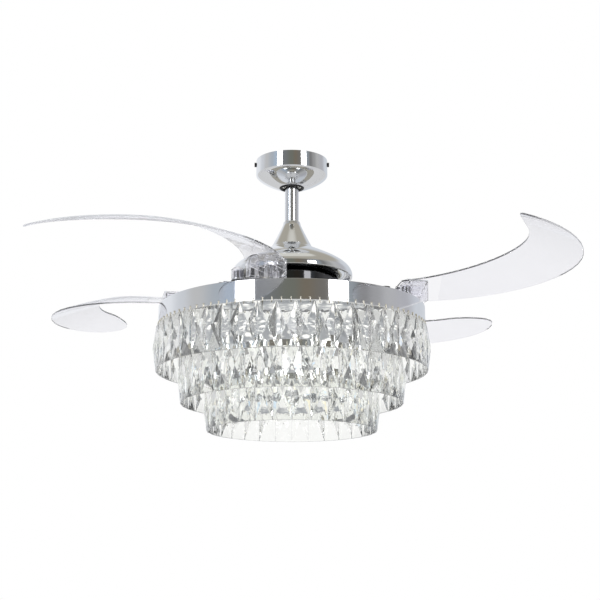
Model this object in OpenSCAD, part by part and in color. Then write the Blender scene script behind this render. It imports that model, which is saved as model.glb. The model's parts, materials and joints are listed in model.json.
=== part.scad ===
// Retractable blade ceiling fan with a crystal light.
// Millimetres, +Z up. The origin is on the ceiling, on the fan's axis, so all of it hangs below z = 0.
// Heights named "..._h" are measured upwards from the deck, the top edge of the chrome ring.
// The blades are drawn swung out; each is laid out folded round the axis and then turned open.

/* [Overall] */
// Ceiling to the top edge of the chrome ring
deck_drop = 302; // [290:1:340]
// Segments of a full circle on drawn outlines
smooth = 24; // [16:4:48]

/* [Canopy and hanger] */
// Outer radius of the canopy
canopy_r = 70; // [66:0.5:80]
// Height of the canopy below the ceiling
canopy_depth = 56; // [54:0.5:62]
// Straight part of the canopy's side
canopy_side = 30; // [29:0.5:34]
// Wall of the canopy
canopy_wall = 1.5; // [1:0.1:2]
// Radius where the canopy's rounded foot meets its flat floor
canopy_floor_r = 25; // [24.5:0.5:30]
// Radius of the opening that the rod passes through
canopy_hole_r = 22; // [21:0.5:26]
// Plate thickness of the hanger bracket
bracket_t = 2.5; // [2:0.1:4]
// Width of the bracket's plate and straps
bracket_w = 30; // [24:1:34]
// Distance between the two mounting slots
slot_spacing = 80; // [70:1:90]
// Width of a mounting slot
slot_w = 5.5; // [4.5:0.1:6.5]
// Length of a mounting slot, end to end
slot_len = 16; // [10:0.5:20]
// Radius of the hanger ball
ball_r = 22; // [20:0.25:23]
// Depth of the ball's centre below the ceiling
ball_drop = 33; // [31:0.5:36]
// Radius of the canopy's side screws
side_screw_r = 2; // [1.5:0.1:2.5]

/* [Downrod and coupling] */
// Outer radius of the downrod
rod_r = 13.35; // [12:0.05:15]
// Wall of the downrod
rod_wall = 2; // [1.5:0.1:3]
// Radius of the cross pins in the ball and the yoke
pin_r = 3; // [2:0.1:4]
// Height of the coupling cover's top above the deck
cone_top_h = 176.5; // [172:0.5:182]
// Outer radius at the foot of the coupling cover
cone_foot_r = 38.5; // [36:0.5:42]
// Wall of the coupling cover and of the motor dome
shell_wall = 1.4; // [1:0.1:2]

/* [Motor] */
// Outer radius of the dome's rim
dome_r = 117; // [114:0.5:122]
// Height of the dome's flat crown above the deck
dome_top_h = 126.5; // [124:0.5:130]
// Height of the dome's rim above the deck
dome_rim_h = 63; // [60:0.5:68]
// Outer radius of the rotor can
can_r = 90; // [86:0.5:94]
// Wall of the rotor can
can_wall = 8; // [6:0.5:10]
// Height of the rotor can's top above the deck
can_top_h = 84; // [80:0.5:86]
// Outer radius of the hollow shaft
shaft_r = 10; // [9:0.25:11]
// Bore of the hollow shaft, for the wires
shaft_bore_r = 6.5; // [5:0.25:7]
// Outer radius of the bearings
bearing_r = 18; // [17:0.25:19]
// Width of the bearings
bearing_w = 8; // [7:0.25:9]
// Height of the laminated stator
stator_t = 24; // [20:1:28]
// Air gap between stator and magnets
air_gap = 0.9; // [0.6:0.1:1.5]

/* [Rotor plate and gears] */
// Distance from the fan's axis to a blade's pivot, at the gears
pivot_r = 198; // [196:1:200]
// Direction of the first pivot, from +X
first_pivot = -28.5; // [-45:0.5:45]
// Outward lean of a pivot, which lifts the blade as it folds in
lean = 2.5; // [2:0.1:3]
// Turn of a blade from folded to open
swing = 151; // [145:1:151]
// Thickness of the rotor plate
plate_t = 3; // [2.5:0.1:3]
// Height of the rotor plate's top above the deck
plate_h = 3; // [2.5:0.1:4]
// Teeth of the gear that keeps the blades in step
sun_teeth = 80; // [80:4:80]
// Teeth of the gear on each blade arm
arm_teeth = 19; // [19:1:19]
// Thickness of the gears
gear_t = 4; // [3:0.5:4.5]
// Play between meshed teeth, along the pitch circle
backlash = 0.5; // [0.3:0.05:0.8]
// Radius of a pivot post
post_r = 5; // [4.5:0.1:5.5]
// Running clearance of round fits, on the radius
fit = 0.05; // [0.02:0.01:0.08]

/* [Blades] */
// Thickness of the clear blade
blade_t = 3; // [2.5:0.1:3.5]
// Angle round the axis that a folded blade covers
blade_span = 185; // [175:1:186]
// Radius of the blade's inner edge, folded
inner_r = 191; // [189:0.5:194]
// Centre of that edge, from the axis towards the pivot
inner_x = 23.5; // [21:0.5:26]
// Centre of that edge, sideways from the line to the pivot
inner_y = 58.5; // [56:0.5:61]
// Radius of the blade's outer edge, folded
outer_r = 242.5; // [240:0.5:244]
// Centre of that edge, from the axis towards the pivot
outer_x = 18.5; // [16:0.5:20]
// Centre of that edge, sideways from the line to the pivot
outer_y = 10; // [8:0.5:12]
// Height above the deck of a folded blade's root, at the pivots' radius
root_h = 34.5; // [33:0.5:37]
// Climb of the folded blade for each degree round the axis
climb = 0.055; // [0.04:0.005:0.08]
// Extra lift of the tip
tip_lift = 16; // [12:0.5:18]
// Slope of the blade across its width, falling outwards
bank = 0.355; // [0.33:0.005:0.38]
// Crown of the blade between its edges
crown = 1.5; // [0:0.25:3]
// Distance of the tip from the axis, folded
tip_r = 199.5; // [196:0.5:203]
// Where the tip starts to round off
tip_from = 160; // [150:1:170]
// Length of the ribbed root box, away from the axis
box_l = 68; // [64:1:70]
// Width of the ribbed root box, round the axis
box_w = 38; // [34:1:40]
// Wall of the root box
box_wall = 2; // [1.6:0.1:2.4]
// Height of the root box's crown above the deck
box_top_h = 47; // [44:0.5:49]

/* [Light] */
// Outer radius of the chrome ring
ring_r = 255; // [245:1:262]
// Height of the chrome ring
ring_depth = 38; // [34:0.5:42]
// Wall of the chrome ring
ring_wall = 1.5; // [1.2:0.1:2.5]
// Outer radius of the hoop that carries the middle tier
hoop2_r = 207; // [200:1:212]
// Outer radius of the hoop that carries the lowest tier
hoop3_r = 157; // [150:1:162]
// Gap between the chrome ring and the prisms that hang from it
tier1_gap = 2; // [1.5:0.5:4]
// Turn of the upper tier's first prism from the fan's +X side, degrees
tier1_turn = -2.15; // [-3.7:0.05:3.7]
// Turn of the middle tier's first prism from the fan's +X side, degrees
tier2_turn = 2.3; // [-4.6:0.05:4.6]
// Drop of the tops of the middle tier's prisms below the deck
tier2_drop = 101; // [95:0.5:106]
// Drop of the tops of the lowest tier's prisms below the deck
tier3_drop = 152; // [146:0.5:158]
// Height of a prism
prism_l = 82; // [76:0.5:86]
// Pitch of the prisms round a tier
prism_pitch = 33.6; // [31:0.1:38]
// Gap between neighbouring prisms
prism_gap = 1.2; // [0.8:0.1:2]
// Thickness of a prism at its edges
prism_edge_t = 3; // [2:0.1:4]
// Thickness of a prism at its middle
prism_mid_t = 16; // [10:0.5:18]
// Radius of a hook wire
hook_r = 0.8; // [0.6:0.1:1]
// Radius of the opal diffuser
diffuser_r = 140; // [130:1:144]

/* [Hidden] */
$fn = 64;
eps = 0.01;
blades = 4;
chrome = [0.80, 0.81, 0.83];
steel = [0.62, 0.63, 0.65];
dark = [0.16, 0.16, 0.17];
clear = [0.86, 0.87, 0.92, 0.45];
crystal = [0.93, 0.95, 0.93, 0.6];

// ---------- shared shapes ----------
module on_deck() translate([0, 0, -deck_drop]) children();
module tube(r, bore, h) difference() {
    cylinder(r = r, h = h);
    translate([0, 0, -1]) cylinder(r = bore, h = h + 2);
}
module along_x() rotate([0, 90, 0]) children();
module around(n, r, from = 0) for (i = [0 : n - 1])
    rotate([0, 0, from + i * 360 / n]) translate([r, 0, 0]) children();
module rounded_plan(l, w, r) {
    square([l - 2 * r, w], center = true);
    square([l, w - 2 * r], center = true);
    for (x = [-1, 1], y = [-1, 1]) translate([x * (l / 2 - r), y * (w / 2 - r)]) circle(r = r, $fn = 32);
}
// A smooth curve from a to d that leaves towards b and arrives from c
function curve(a, b, c, d, n = smooth / 2) = [for (i = [0 : n]) let (t = i / n, s = 1 - t)
    s * s * s * a + 3 * s * s * t * b + 3 * s * t * t * c + t * t * t * d];
function reversed(list) = [for (i = [len(list) - 1 : -1 : 0]) list[i]];

// ---------- canopy and hanger ----------
canopy_in_r = canopy_r - canopy_wall;
ear_x = sqrt(pow(canopy_in_r - 0.4, 2) - pow(bracket_w / 2, 2));
ear_drop = 16;
foot_bulge = 8;
foot_slope = 10;
screw_drop = 8;
strap_y = ball_r + 5;
cradle_drop = ball_drop + 14;
seat_h = 8;
key_w = 3;
grommet_in_r = canopy_hole_r - 3.5;

module hanger_bracket() color(steel) difference() {
    union() {
        translate([-ear_x, -bracket_w / 2, -bracket_t]) cube([2 * ear_x, bracket_w, bracket_t]);
        translate([-bracket_w / 2, -strap_y - bracket_t, -bracket_t])
            cube([bracket_w, 2 * (strap_y + bracket_t), bracket_t]);
        for (s = [0, 180]) rotate([0, 0, s]) {
            translate([ear_x - bracket_t, -10, -ear_drop]) cube([bracket_t, 20, ear_drop]);
            translate([-bracket_w / 2, strap_y, -cradle_drop]) cube([bracket_w, bracket_t, cradle_drop]);
        }
        translate([0, 0, -cradle_drop]) cylinder(r = strap_y, h = seat_h);
        translate([-key_w / 2, ball_r - 2, -ball_drop - 3]) cube([key_w, strap_y - ball_r + 2, 6]);
    }
    difference() {
        translate([0, 0, -ball_drop]) sphere(r = ball_r + fit);
        translate([-key_w / 2, ball_r - 2, -ball_drop - 3]) cube([key_w, 5, 6]);
    }
    translate([-ball_r - 20, -rod_r - 1.5, -cradle_drop - 1])
        cube([ball_r + 20, 2 * (rod_r + 1.5), seat_h + 2]);
    for (s = [-1, 1]) translate([s * slot_spacing / 2, 0, 0]) {
        for (e = [-1, 1]) translate([e * (slot_len - slot_w) / 2, 0, -bracket_t - 1])
            cylinder(d = slot_w, h = bracket_t + 2);
        cube([slot_len - slot_w, slot_w, 3 * bracket_t], center = true);
    }
    translate([0, 0, -bracket_t - 1]) cylinder(r = 8, h = bracket_t + 2);
    translate([-ear_x - 1, 0, -screw_drop]) along_x() cylinder(r = side_screw_r, h = 2 * ear_x + 2);
}

function canopy_line(off) = concat(
    [[canopy_r - off, -1]],
    curve([canopy_r - off, -canopy_side], [canopy_r - off, -canopy_side - foot_bulge],
        [canopy_floor_r + foot_slope, -canopy_depth + off + 1], [canopy_floor_r, -canopy_depth + off]),
    [[canopy_hole_r, -canopy_depth + off]]);
module canopy() color(chrome) difference() {
    rotate_extrude($fn = 96) polygon(concat(canopy_line(0), reversed(canopy_line(canopy_wall))));
    translate([-canopy_r - 1, 0, -screw_drop]) along_x()
        cylinder(r = side_screw_r + 0.3, h = 2 * canopy_r + 2);
}
module canopy_screws() color(dark) for (s = [0, 180]) rotate([0, 0, s])
    translate([0, 0, -screw_drop]) along_x() {
        translate([0, 0, ear_x - bracket_t - 2])
            cylinder(r = side_screw_r, h = canopy_r - ear_x + bracket_t + 2.2);
        translate([0, 0, canopy_r + 0.1]) cylinder(r = 2.2 * side_screw_r, h = 3.4);
    }
module canopy_grommet() color(dark) rotate_extrude() difference() {
    translate([grommet_in_r, -canopy_depth - 2]) square([6, canopy_wall + 4]);
    translate([canopy_hole_r, -canopy_depth]) square([4, canopy_wall]);
}
module receiver() color("white") translate([0, strap_y + bracket_t + 15, -19])
    linear_extrude(height = 26, center = true) rounded_plan(52, 30, 4);
module terminal_block() color([0.9, 0.9, 0.85]) difference() {
    translate([-18, -strap_y - bracket_t - 12, -22]) cube([36, 12, 14]);
    for (i = [-2 : 2]) translate([i * 7, -strap_y - bracket_t - 6, -23]) cylinder(r = 1.8, h = 12);
}

// ---------- ball, rod and coupling ----------
rod_top = ball_drop - 20;
rod_foot_h = dome_top_h + 1.5;
// Length of the coupling cover, which the yoke's upper part and its pin share out
cover_l = cone_top_h - dome_top_h;
yoke_pin_h = dome_top_h + 0.31 * cover_l;
yoke_top_h = dome_top_h + 0.51 * cover_l;
yoke_foot_h = dome_top_h - 26.5;
flange_h = dome_top_h - 7.5;
shaft_top_h = dome_top_h - 0.5;
shaft_foot_h = -30;
yoke_r = 19;
yoke_flange_r = 34;
yoke_boss_r = 24;
dome_screw_ring = 28;
dome_screw_l = 13.5;

module hanger_ball() color(dark) difference() {
    translate([0, 0, -ball_drop]) sphere(r = ball_r);
    translate([0, 0, -ball_drop + ball_r - 5]) cylinder(r = ball_r, h = 6);
    translate([0, 0, -ball_drop - ball_r - 1]) cylinder(r = rod_r + fit, h = 2 * ball_r + 2);
    translate([-key_w / 2 - 0.6, ball_r - 2.8, -ball_drop - 8]) cube([key_w + 1.2, 6, 16]);
    translate([-ball_r, 0, -ball_drop]) along_x() cylinder(r = pin_r + fit, h = 2 * ball_r);
}
module ball_pin() color(steel) translate([-20, 0, -ball_drop]) along_x() cylinder(r = pin_r, h = 40);
module downrod() color(chrome) difference() {
    translate([0, 0, rod_foot_h - deck_drop]) tube(rod_r, rod_r - rod_wall, deck_drop - rod_foot_h - rod_top);
    for (z = [-ball_drop, yoke_pin_h - deck_drop])
        translate([-rod_r - 2, 0, z]) along_x() cylinder(r = pin_r + fit, h = 2 * rod_r + 4);
}
cover_shoulder_h = cone_top_h - 0.16 * cover_l;
cover_waist_h = cone_top_h - 0.42 * cover_l;
function cone_line() = concat(
    [[rod_r + 0.35, cone_top_h]],
    curve([rod_r + 1.2, cone_top_h], [rod_r + 2.8, cone_top_h], [rod_r + 2.9, cone_top_h - 2.5],
        [rod_r + 4.3, cover_shoulder_h], 5),
    [[rod_r + 10.6, cover_waist_h], [cone_foot_r, dome_top_h]]);
module coupling_cover() color(chrome) on_deck() rotate_extrude($fn = 96) difference() {
    polygon(concat(cone_line(), [[rod_r + 0.35, dome_top_h]]));
    polygon([[0, cone_top_h - 3], [rod_r + 2, cone_top_h - 3], [rod_r + 9, cover_waist_h],
        [cone_foot_r - shell_wall, dome_top_h - 1], [0, dome_top_h - 1]]);
}
module yoke() color(dark) on_deck() difference() {
    rotate_extrude() polygon([[0, yoke_foot_h], [yoke_boss_r, yoke_foot_h], [yoke_boss_r, flange_h - 2],
        [yoke_flange_r, flange_h], [yoke_flange_r, dome_top_h - shell_wall],
        [yoke_r, dome_top_h - shell_wall], [yoke_r, yoke_top_h], [0, yoke_top_h]]);
    translate([0, 0, rod_foot_h]) cylinder(r = rod_r + fit, h = cover_l);
    translate([0, 0, yoke_foot_h - 1]) cylinder(r = shaft_r + 0.01, h = 30);
    translate([-yoke_r - 1, 0, yoke_pin_h]) along_x() cylinder(r = pin_r + fit, h = 2 * yoke_r + 2);
    around(3, dome_screw_ring) translate([0, 0, flange_h - 8]) cylinder(r = 2, h = 20);
}
module yoke_pin() color(steel) on_deck() translate([-yoke_r - 2.5, 0, yoke_pin_h]) along_x() {
    cylinder(r = pin_r + 2, h = 2.4);
    cylinder(r = pin_r, h = 2 * yoke_r + 6);
}
module pin_clip() color(steel) on_deck() translate([yoke_r + 0.2, 0, yoke_pin_h]) along_x()
    tube(pin_r + 2, pin_r, 1.2);

// ---------- motor ----------
// The dome's section, from its hole in the crown to its curled rim; "in" is the depth below the skin
function dome_line(in) = concat(
    [[yoke_r + 0.4, dome_top_h - in], [cone_foot_r - in / 2, dome_top_h - in],
        [cone_foot_r + 2 - in / 2, dome_top_h - 2.6 - in]],
    curve([cone_foot_r + 6, dome_top_h - 5.5 - in], [78, 105 - in], [dome_r - in, 90],
        [dome_r - in, dome_rim_h + 5], smooth),
    curve([dome_r - in, dome_rim_h + 3], [dome_r - in, dome_rim_h + in], [dome_r - in, dome_rim_h + in],
        [dome_r - 5, dome_rim_h + in], 4));
module motor_dome() color(chrome) on_deck() difference() {
    rotate_extrude($fn = 128) polygon(concat(dome_line(0), reversed(dome_line(shell_wall))));
    around(3, dome_screw_ring) translate([0, 0, dome_top_h - 5]) cylinder(r = 2.3, h = 10);
}
module dome_screws() color(steel) on_deck() around(3, dome_screw_ring) {
    translate([0, 0, dome_top_h - dome_screw_l]) cylinder(r = 1.95, h = dome_screw_l);
    translate([0, 0, dome_top_h]) cylinder(r = 4, h = 2);
}
module motor_shaft() color(steel) on_deck() translate([0, 0, shaft_foot_h])
    tube(shaft_r, shaft_bore_r, shaft_top_h - shaft_foot_h);

bearing_hs = [plate_h + 3, can_top_h - 12];
race_t = 2.5;
ball_track_r = (shaft_r + bearing_r) / 2;
module bearing_inner_races() color(steel) on_deck() for (h = bearing_hs) translate([0, 0, h])
    tube(shaft_r + race_t, shaft_r + 0.01, bearing_w);
module bearing_outer_races() color(steel) on_deck() for (h = bearing_hs) translate([0, 0, h])
    tube(bearing_r, bearing_r - race_t, bearing_w);
module bearing_balls() color(chrome) on_deck() for (h = bearing_hs)
    around(8, ball_track_r) translate([0, 0, h + bearing_w / 2])
        sphere(r = (bearing_r - shaft_r) / 2 - race_t - 0.1, $fn = 24);

stator_h = can_top_h - 48;
magnet_t = 3.5;
magnet_in_r = can_r - can_wall - magnet_t - 0.1;
stator_r = magnet_in_r - air_gap;
slots = 12;
core_r = 30;
tooth_w = 9;
coil_from = 38;
coil_l = 26;
coil_w = 17.2;
coil_over = 5;
shoe_half = 10.8;
magnet_half = 10.2;
module stator_core() color(steel) on_deck() translate([0, 0, stator_h]) linear_extrude(height = stator_t)
    difference() {
        union() {
            circle(r = core_r);
            for (i = [0 : slots - 1]) rotate(i * 360 / slots) {
                translate([core_r - 2, -tooth_w / 2]) square([stator_r - core_r, tooth_w]);
                intersection() {
                    difference() {
                        circle(r = stator_r, $fn = 96);
                        circle(r = stator_r - 5, $fn = 96);
                    }
                    wedge(-shoe_half, shoe_half, stator_r + 10);
                }
            }
        }
        circle(r = shaft_r + 0.01);
    }
module stator_windings() color([0.72, 0.38, 0.16]) on_deck() around(slots, 0)
    translate([coil_from, 0, stator_h - coil_over]) difference() {
        translate([0, -coil_w / 2, 0]) cube([coil_l, coil_w, stator_t + 2 * coil_over]);
        translate([-1, -tooth_w / 2, coil_over]) cube([coil_l + 2, tooth_w, stator_t]);
    }
module rotor_can() color(dark) on_deck() difference() {
    rotate_extrude($fn = 128) polygon([
        [bearing_r, can_top_h - 14], [bearing_r + 6, can_top_h - 14], [bearing_r + 6, can_top_h - 5],
        [can_r - can_wall, can_top_h - 5], [can_r - can_wall, plate_h], [can_r, plate_h],
        [can_r, can_top_h - 6], [can_r - 6, can_top_h], [bearing_r, can_top_h]]);
    around(8, (bearing_r + can_r) / 2) translate([0, 0, can_top_h - 6]) linear_extrude(height = 8)
        rounded_plan(34, 9, 4);
    around(6, can_r - can_wall / 2) translate([0, 0, plate_h - 1]) cylinder(r = 2, h = 14);
}
magnets_n = 16;
module magnets() color([0.3, 0.3, 0.32]) on_deck() for (i = [0 : magnets_n - 1])
    rotate([0, 0, i * 360 / magnets_n]) translate([0, 0, stator_h - 2]) linear_extrude(height = stator_t + 4)
        intersection() {
            difference() {
                circle(r = magnet_in_r + magnet_t, $fn = 96);
                circle(r = magnet_in_r, $fn = 96);
            }
            wedge(-magnet_half, magnet_half, can_r);
        }

// ---------- rotor plate, gears and pivots ----------
module_size = 2 * pivot_r / (sun_teeth + arm_teeth);
pressure = 20;
sun_pitch_r = module_size * sun_teeth / 2;
arm_pitch_r = module_size * arm_teeth / 2;
gear_lift = 1.2;
sun_h = plate_h + gear_lift + arm_pitch_r * sin(lean) + 0.04;
pad_h = sun_h - 0.3;
hub_r = can_r + fit;
stop_r = sun_pitch_r - 34;
stop_post_r = 5;
sun_turn = swing * arm_teeth / sun_teeth;
window_from = sun_turn + asin(stop_post_r / stop_r) + 0.4;
window_to = asin(stop_post_r / stop_r) + 0.4;
plate_r = sun_pitch_r + module_size + 4;
post_h = 18.3;
hub_top = 9.5;
hub_foot = 0.8;
bush_t = 1.5;
lug_r = 16;
lighten_r = 15;
stop_peg_r = 2.45;

function involute(a) = tan(a) * 180 / PI - a;
function tooth_half(pitch_r, teeth, r) = let (base = pitch_r * cos(pressure))
    90 / teeth - backlash / 4 / pitch_r * 180 / PI + involute(pressure)
        - involute(acos(min(1, base / r)));
module gear_plan(teeth, radii) {
    pitch_r = module_size * teeth / 2;
    polygon([for (i = [0 : teeth - 1], k = [0 : 2 * len(radii) - 1])
        let (side = k < len(radii) ? -1 : 1,
            r = side < 0 ? radii[k] : radii[2 * len(radii) - 1 - k],
            a = i * 360 / teeth + side * tooth_half(pitch_r, teeth, r))
        r * [cos(a), sin(a)]]);
}
module wedge(from, to, r) polygon(concat([[0, 0]],
    [for (i = [0 : 4]) let (a = from + (to - from) * i / 4) r * [cos(a), sin(a)]]));
module at_pivot(n) on_deck() rotate([0, 0, first_pivot + 90 * n]) translate([pivot_r, 0, plate_h])
    rotate([0, lean, 0]) children();

module rotor_plate() color(steel) difference() {
    union() {
        on_deck() {
            translate([0, 0, plate_h - plate_t]) linear_extrude(height = plate_t) difference() {
                union() {
                    circle(r = plate_r, $fn = 128);
                    for (n = [0 : blades - 1]) rotate(first_pivot + 90 * n) {
                        translate([pivot_r, 0]) circle(r = lug_r);
                        polygon([[plate_r - 20, -46], [pivot_r, -lug_r],
                            [pivot_r, lug_r], [plate_r - 20, 46]]);
                    }
                }
                for (i = [0 : 7]) rotate(first_pivot + 22.5 + 45 * i)
                    translate([stop_r, 0]) circle(r = lighten_r);
            }
            translate([0, 0, plate_h - eps]) tube(can_r + 14, can_r, pad_h - plate_h + eps);
            translate([0, 0, plate_h - plate_t]) cylinder(r = bearing_r + 7, h = bearing_w + plate_t + 3);
        }
    }
    on_deck() {
        translate([0, 0, plate_h - plate_t - 1]) cylinder(r = bearing_r - 3, h = 30);
        translate([0, 0, bearing_hs[0]]) cylinder(r = bearing_r, h = 20);
        around(6, can_r - can_wall / 2) translate([0, 0, plate_h - plate_t]) {
            translate([0, 0, -1]) cylinder(r = 2.2, h = plate_t + 3);
            translate([0, 0, -1]) cylinder(r1 = 4.85, r2 = 2.2, h = 2.65);
        }
        for (n = [0 : blades - 1]) rotate([0, 0, first_pivot + 90 * n]) translate([stop_r, 0, plate_h - 6])
            cylinder(r = stop_peg_r + fit, h = 8);
    }
    for (n = [0 : blades - 1]) at_pivot(n) translate([0, 0, -6]) cylinder(r = post_r - 1, h = 12);
}
module plate_screws() color(steel) on_deck() around(6, can_r - can_wall / 2) {
    translate([0, 0, plate_h - plate_t]) cylinder(r = 1.95, h = 12);
    translate([0, 0, plate_h - plate_t]) cylinder(r1 = 3.6, r2 = 1.95, h = 1.65);
}
module gear_retainer() color(steel) on_deck() translate([0, 0, sun_h + gear_t + 0.3])
    tube(can_r + 6, can_r + 0.02, 1.6);
module sync_gear() color([0.88, 0.86, 0.78]) on_deck() rotate([0, 0, first_pivot]) translate([0, 0, sun_h])
    linear_extrude(height = gear_t) difference() {
        rotate(180 / sun_teeth)
            gear_plan(sun_teeth, [sun_pitch_r - 1.25 * module_size, sun_pitch_r + module_size]);
        circle(r = hub_r, $fn = 128);
        for (i = [0 : 7]) rotate(45 * i) intersection() {
            difference() {
                circle(r = sun_pitch_r - 14);
                circle(r = hub_r + 14);
            }
            wedge(-window_from, window_to, sun_pitch_r);
        }
    }
module pivot_posts() color(steel) for (n = [0 : blades - 1]) at_pivot(n) {
    translate([0, 0, 0.3]) cylinder(r = post_r, h = post_h - 0.3);
    translate([0, 0, -plate_t]) cylinder(r = post_r - 1.02, h = plate_t + 1);
}
module pivot_bushes() color([0.78, 0.62, 0.3]) for (n = [0 : blades - 1]) at_pivot(n)
    translate([0, 0, hub_foot]) tube(post_r + bush_t, post_r + 0.01, hub_top - hub_foot);
module post_caps() color(dark) for (n = [0 : blades - 1]) at_pivot(n) translate([0, 0, post_h])
    difference() {
        cylinder(r = 8.2, h = 2);
        translate([0, 0, 0.8]) cylinder(r = 4, h = 3, $fn = 6);
    }
module stop_posts() color(dark) on_deck() for (n = [0 : blades - 1])
    rotate([0, 0, first_pivot + 90 * n]) translate([stop_r, 0, 0]) {
        translate([0, 0, plate_h]) cylinder(r = stop_post_r, h = gear_t + sun_h - plate_h + 0.5);
        translate([0, 0, plate_h - plate_t]) cylinder(r = stop_peg_r, h = plate_t + 1);
    }

// Torsion springs round the posts: an unbroken wire of round turns
spring_wire_r = 0.7;
spring_turns = 3;
spring_pitch = 2.2;
spring_r = post_r + 1.8;
spring_sides = 6;
spring_rings = 8;
spring_steps = spring_turns * spring_rings;
function spring_at(i) = let (a = 360 * i / spring_rings)
    [spring_r * cos(a), spring_r * sin(a), spring_pitch * i / spring_rings];
function spring_ring(i) = let (a = 360 * i / spring_rings, c = spring_at(i),
    out = [cos(a), sin(a), 0], up = [0, 0, 1])
    [for (k = [0 : spring_sides - 1]) c + spring_wire_r * (cos(60 * k) * out + sin(60 * k) * up)];
spring_gap = min([for (i = [0 : spring_steps - spring_rings])
    norm(spring_at(i + spring_rings) - spring_at(i))]) - 2 * spring_wire_r;
echo(str("spring wire's least gap to itself: ", spring_gap, " mm"));
module spring_wire() {
    n = spring_sides;
    points = [for (i = [0 : spring_steps]) each spring_ring(i)];
    last = spring_steps * n;
    polyhedron(points, concat(
        [[for (k = [n - 1 : -1 : 0]) k]],
        [for (i = [0 : spring_steps - 1], k = [0 : n - 1]) each [
            [i * n + k, (i + 1) * n + (k + 1) % n, (i + 1) * n + k],
            [i * n + k, i * n + (k + 1) % n, (i + 1) * n + (k + 1) % n]]],
        [[for (k = [0 : n - 1]) last + k]]));
}
module return_springs() color(steel) for (n = [0 : blades - 1]) at_pivot(n)
    translate([0, 0, hub_top + spring_wire_r + 0.3]) spring_wire();

// ---------- blades ----------
// Distance from the axis, at angle a round it, of a circle with centre [x, y] and radius r
function edge_r(x, y, r, a) = let (along = x * cos(a) + y * sin(a))
    along + sqrt(along * along - x * x - y * y + r * r);
function tip_width(a) = a <= tip_from ? 1
    : sqrt(max(0.003, 1 - pow((a - tip_from) / (blade_span - tip_from), 2)));
function blade_edge(x, y, r, a) = tip_r + (edge_r(x, y, r, -a) - tip_r) * tip_width(a);
// Radius at which the banked blade keeps its height
level_r = 200;
function blade_height(a, r, s) = root_h + climb * a + tip_lift * pow(max(0, a - 120) / (blade_span - 120), 2)
    - bank * (r - level_r) + 4 * crown * s * (1 - s) * tip_width(a);
sheet_from = 10;
straight_steps = 20;
tip_steps = 6;
across = 4;
function station(i) = i <= straight_steps ? sheet_from + (tip_from - sheet_from) * i / straight_steps
    : tip_from + (blade_span - tip_from) * sin(90 * (i - straight_steps) / tip_steps);
stations = straight_steps + tip_steps;
function blade_point(i, k, side) = let (a = station(i), s = k / across,
    near = blade_edge(inner_x, inner_y, inner_r, a), far = blade_edge(outer_x, outer_y, outer_r, a),
    r = near + (far - near) * s)
    [r * cos(-a), r * sin(-a), blade_height(a, r, s) + side * blade_t / 2];
module blade_sheet() {
    m = across + 1;
    ring = 2 * m;
    points = [for (i = [0 : stations]) each concat(
        [for (k = [0 : across]) blade_point(i, k, -1)],
        [for (k = [across : -1 : 0]) blade_point(i, k, 1)])];
    polyhedron(points, concat(
        [for (k = [0 : across - 1]) each [[k, k + 1, ring - 2 - k], [k, ring - 2 - k, ring - 1 - k]]],
        [for (i = [0 : stations - 1], k = [0 : ring - 1]) let (a = i * ring, b = a + ring, j = (k + 1) % ring)
            each [[a + k, b + k, b + j], [a + k, b + j, a + j]]],
        [for (k = [0 : across - 1]) let (c = stations * ring)
            each [[c + k, c + ring - 2 - k, c + k + 1], [c + k, c + ring - 1 - k, c + ring - 2 - k]]]));
}
box_turn = 19.75;
box_mid_r = 222;
box_arch_r = 75;
box_corner_r = 7;
rib_gap = 17;
rib_t = 1.4;
box_foot_h = 4;
arm_top = 8.2;
arm_plate_t = 3;
clear_r = 76;
hub_out_r = 8.7;
// The domed boss and the second screw, measured from the pivot with the blade folded
boss_at = [-21, -31.7];
boss_r = 11.5;
boss_top = 29.5;
boss_wall = 1.6;
screw_at = [35.8, -54];
screw_top = 31.5;
screw_boss_r = 4.6;
screw_hole_r = 2;
// Puts children, laid out folded with their pivot on +X, at blade n in its open place
module folded_to_open(n) on_deck() rotate([0, 0, first_pivot + 90 * n]) translate([pivot_r, 0, 0])
    rotate([0, 0, swing]) translate([-pivot_r, 0, 0]) children();
module at_blade_pivot(n) at_pivot(n) rotate([0, 0, swing]) children();
module box_form(inset) rotate([0, 0, -box_turn]) intersection() {
    translate([box_mid_r, 0, 0]) linear_extrude(height = 2 * box_top_h)
        rounded_plan(box_l - 2 * inset, box_w - 2 * inset, box_corner_r - inset);
    translate([box_mid_r - 4, 0, box_top_h - box_arch_r]) rotate([90, 0, 0])
        cylinder(r = box_arch_r - inset, h = box_w + 20, center = true, $fn = 96);
}
module root_box() difference() {
    box_form(0);
    difference() {
        box_form(box_wall);
        rotate([0, 0, -box_turn]) for (x = [-rib_gap, 0, rib_gap])
            translate([box_mid_r + x - rib_t / 2, -box_w / 2, 0]) cube([rib_t, box_w, 2 * box_top_h]);
    }
    cylinder(r = 2 * pivot_r, h = box_foot_h);
}
module domed_boss(r, h) intersection() {
    cylinder(r = r, h = h);
    translate([0, 0, h - 1.25 * r]) sphere(r = 1.25 * r);
}
module blade(n) color(clear) difference() {
    union() {
        folded_to_open(n) {
            blade_sheet();
            root_box();
        }
        at_blade_pivot(n) {
            translate([boss_at[0], boss_at[1], 0]) domed_boss(boss_r, boss_top);
            translate([screw_at[0], screw_at[1], arm_top])
                cylinder(r = screw_boss_r, h = screw_top - arm_top);
        }
    }
    at_blade_pivot(n) {
        translate([0, 0, -20]) cylinder(r = clear_r, h = 20 + arm_top);
        translate([boss_at[0], boss_at[1], 0]) domed_boss(boss_r - boss_wall, boss_top - boss_wall);
        translate([screw_at[0], screw_at[1], 0]) cylinder(r = screw_hole_r, h = 2 * screw_top);
        translate([screw_at[0], screw_at[1], screw_top]) cylinder(r = screw_boss_r, h = screw_top);
    }
}
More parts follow.
